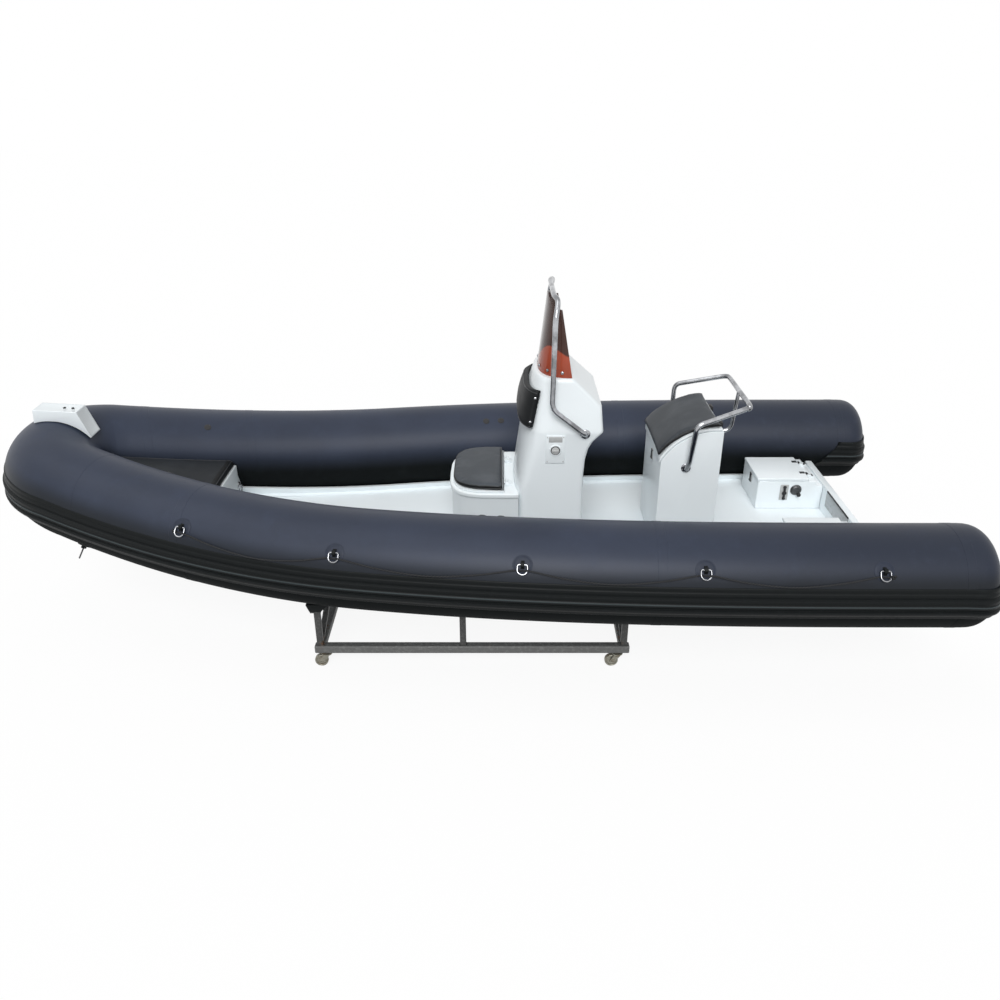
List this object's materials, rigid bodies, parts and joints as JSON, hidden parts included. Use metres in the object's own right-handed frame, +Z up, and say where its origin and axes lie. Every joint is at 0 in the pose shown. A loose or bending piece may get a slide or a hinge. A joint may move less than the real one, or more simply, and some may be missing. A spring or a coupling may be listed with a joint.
{
  "type": "rigid inflatable boat with helm console on a wheeled cradle",
  "caption": "Rigid inflatable boat: dark tube collar, V hull, helm console with windshield, seats and lockers with hinged lids, on a wheeled cradle.",
  "frame": {"origin": "centre of the plan outline, on the floor under the caster wheels", "axes": "+X to the bow, +Y to port, +Z up"},
  "size_m": [5.0525, 2.2484, 1.8449],
  "materials": {
    "gelcoat": "gloss",
    "tube_fabric": "satin",
    "strake_rubber": "satin",
    "vinyl": "satin",
    "stainless": "polished",
    "smoked_acrylic": "gloss",
    "black_plastic": "matte",
    "rope": "woven",
    "cradle_steel": "worn"
  },
  "bodies": {
    "boat": {"hull": "gelcoat", "deck": "gelcoat", "coaming": "gelcoat", "transom": "gelcoat", "engine_plates": "stainless", "tube_collar": "tube_fabric", "rub_strake": "strake_rubber", "nose_piece": "gelcoat", "bow_locker": "gelcoat", "bow_cushion": "vinyl", "locker_rings": "stainless", "tow_rings": "stainless", "console": "gelcoat", "windshield": "smoked_acrylic", "console_rail": "stainless", "backrest_cushion": "vinyl", "switch_panel": "gelcoat", "front_seat_base": "gelcoat", "helm_seat_base": "gelcoat", "helm_rail": "stainless", "stern_locker_port": "gelcoat", "stern_locker_starboard": "gelcoat", "hinges": "black_plastic", "latches": "black_plastic", "locker_fittings": "stainless", "valves": "strake_rubber", "d_ring_patches": "strake_rubber", "d_rings": "stainless", "lifeline_port": "rope", "lifeline_starboard": "rope", "cradle_frame": "cradle_steel", "cradle_pads": "strake_rubber"},
    "front_seat_lid": {"front_seat_lid": "gelcoat", "front_seat_cushion": "vinyl"},
    "helm_seat_lid": {"helm_seat_lid": "gelcoat", "helm_seat_cushion": "vinyl"},
    "stern_lid_port": {"stern_lid_port": "gelcoat"},
    "stern_lid_starboard": {"stern_lid_starboard": "gelcoat"},
    "caster_fork_front_port": {"caster_fork_front_port": "stainless"},
    "caster_wheel_front_port": {"caster_wheel_front_port": "strake_rubber"},
    "caster_fork_front_starboard": {"caster_fork_front_starboard": "stainless"},
    "caster_wheel_front_starboard": {"caster_wheel_front_starboard": "strake_rubber"},
    "caster_fork_rear_port": {"caster_fork_rear_port": "stainless"},
    "caster_wheel_rear_port": {"caster_wheel_rear_port": "strake_rubber"},
    "caster_fork_rear_starboard": {"caster_fork_rear_starboard": "stainless"},
    "caster_wheel_rear_starboard": {"caster_wheel_rear_starboard": "strake_rubber"}
  },
  "joints": [
    {"name": "front_seat_lid_hinge", "type": "hinge", "parent": "boat", "child": "front_seat_lid", "pos_m": [-0.20836, 0, 0.812], "axis": [0, -1, 0], "range_deg": [0, 95]},
    {"name": "helm_seat_lid_hinge", "type": "hinge", "parent": "boat", "child": "helm_seat_lid", "pos_m": [-1.34635, 0, 1.145], "axis": [0, -1, 0], "range_deg": [0, 70]},
    {"name": "stern_lid_port_hinge", "type": "hinge", "parent": "boat", "child": "stern_lid_port", "pos_m": [-2.02401, 0.41, 0.634], "axis": [0, -1, 0], "range_deg": [0, 95]},
    {"name": "stern_lid_starboard_hinge", "type": "hinge", "parent": "boat", "child": "stern_lid_starboard", "pos_m": [-2.02401, -0.41, 0.634], "axis": [0, -1, 0], "range_deg": [0, 95]},
    {"name": "caster_swivel_front_port", "type": "hinge", "parent": "boat", "child": "caster_fork_front_port", "pos_m": [0.73464, 0.7, 0.1], "axis": [0, 0, 1], "continuous": true},
    {"name": "caster_roll_front_port", "type": "hinge", "parent": "caster_fork_front_port", "child": "caster_wheel_front_port", "pos_m": [0.76465, 0.7, 0.035], "axis": [0, 1, 0], "continuous": true},
    {"name": "caster_swivel_front_starboard", "type": "hinge", "parent": "boat", "child": "caster_fork_front_starboard", "pos_m": [0.73464, -0.7, 0.1], "axis": [0, 0, 1], "continuous": true},
    {"name": "caster_roll_front_starboard", "type": "hinge", "parent": "caster_fork_front_starboard", "child": "caster_wheel_front_starboard", "pos_m": [0.76465, -0.7, 0.035], "axis": [0, 1, 0], "continuous": true},
    {"name": "caster_swivel_rear_port", "type": "hinge", "parent": "boat", "child": "caster_fork_rear_port", "pos_m": [-0.79036, 0.7, 0.1], "axis": [0, 0, 1], "continuous": true},
    {"name": "caster_roll_rear_port", "type": "hinge", "parent": "caster_fork_rear_port", "child": "caster_wheel_rear_port", "pos_m": [-0.76036, 0.7, 0.035], "axis": [0, 1, 0], "continuous": true},
    {"name": "caster_swivel_rear_starboard", "type": "hinge", "parent": "boat", "child": "caster_fork_rear_starboard", "pos_m": [-0.79036, -0.7, 0.1], "axis": [0, 0, 1], "continuous": true},
    {"name": "caster_roll_rear_starboard", "type": "hinge", "parent": "caster_fork_rear_starboard", "child": "caster_wheel_rear_starboard", "pos_m": [-0.76036, -0.7, 0.035], "axis": [0, 1, 0], "continuous": true}
  ]
}
